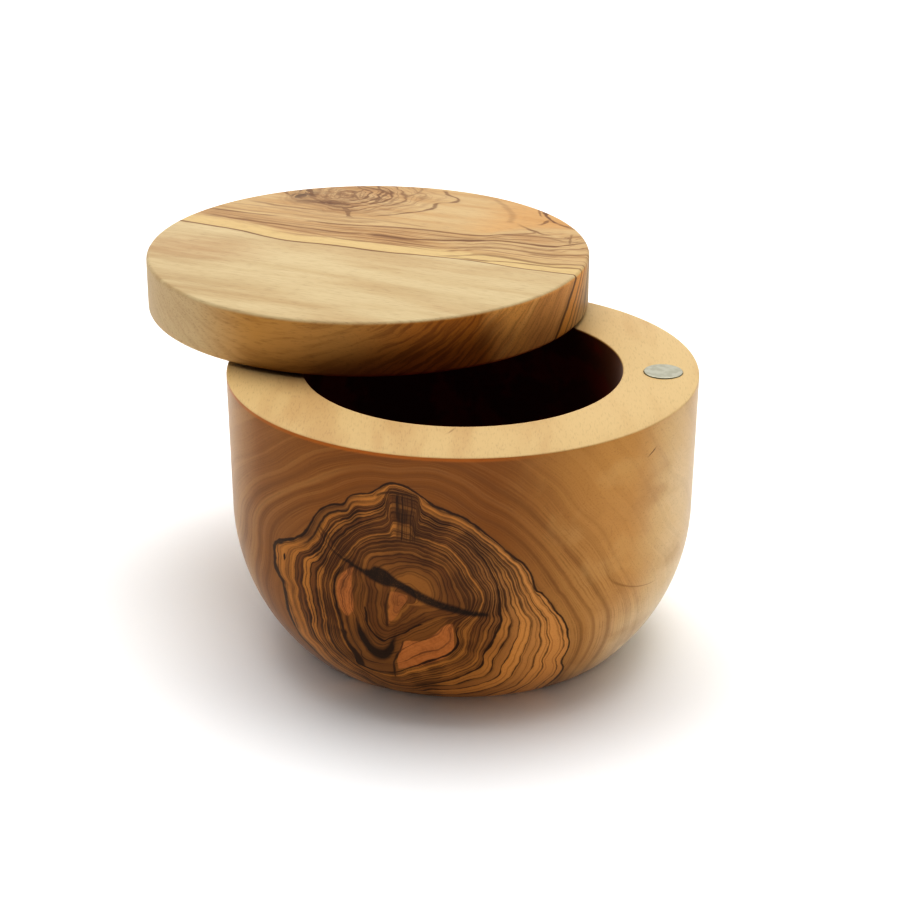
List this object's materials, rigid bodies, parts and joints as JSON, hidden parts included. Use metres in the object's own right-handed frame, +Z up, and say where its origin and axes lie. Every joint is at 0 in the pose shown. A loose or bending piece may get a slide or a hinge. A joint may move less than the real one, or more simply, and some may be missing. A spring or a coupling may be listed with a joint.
{
  "type": "salt box with swivel lid",
  "caption": "Round turned wooden salt bowl with thick walls and a flat wooden lid that swings sideways on a steel pin in the rim and is held shut by small magnets.",
  "frame": {"origin": "centre of the flat foot of the bowl, on the table", "axes": "+Z up; +X from the pivot pin in the rim to the magnet opposite it. The lid rests swung 65.5 degrees open, so lid_swivel is 0 there and the lid is shut at -65.5 degrees."},
  "size_m": [0.1435, 0.1594, 0.0838],
  "materials": {
    "bowl_wood": "olive wood, turned, sanded and oiled to a satin",
    "lid_wood": "olive wood with pale sapwood, turned, sanded and oiled to a satin",
    "pin_steel": "ground",
    "washer_nylon": "natural nylon",
    "rim_magnet_nickel": "dull nickel plate",
    "lid_magnet_nickel": "dull nickel plate"
  },
  "bodies": {
    "base": {"bowl": "bowl_wood", "pivot_pin": "pin_steel", "pivot_washer": "washer_nylon", "rim_magnet": "rim_magnet_nickel"},
    "cover": {"lid": "lid_wood", "lid_magnet": "lid_magnet_nickel"}
  },
  "joints": [
    {"name": "lid_swivel", "type": "hinge", "parent": "base", "child": "cover", "pos_m": [-0.04875, 0, 0.0698], "axis": [0, 0, 1], "continuous": true}
  ]
}
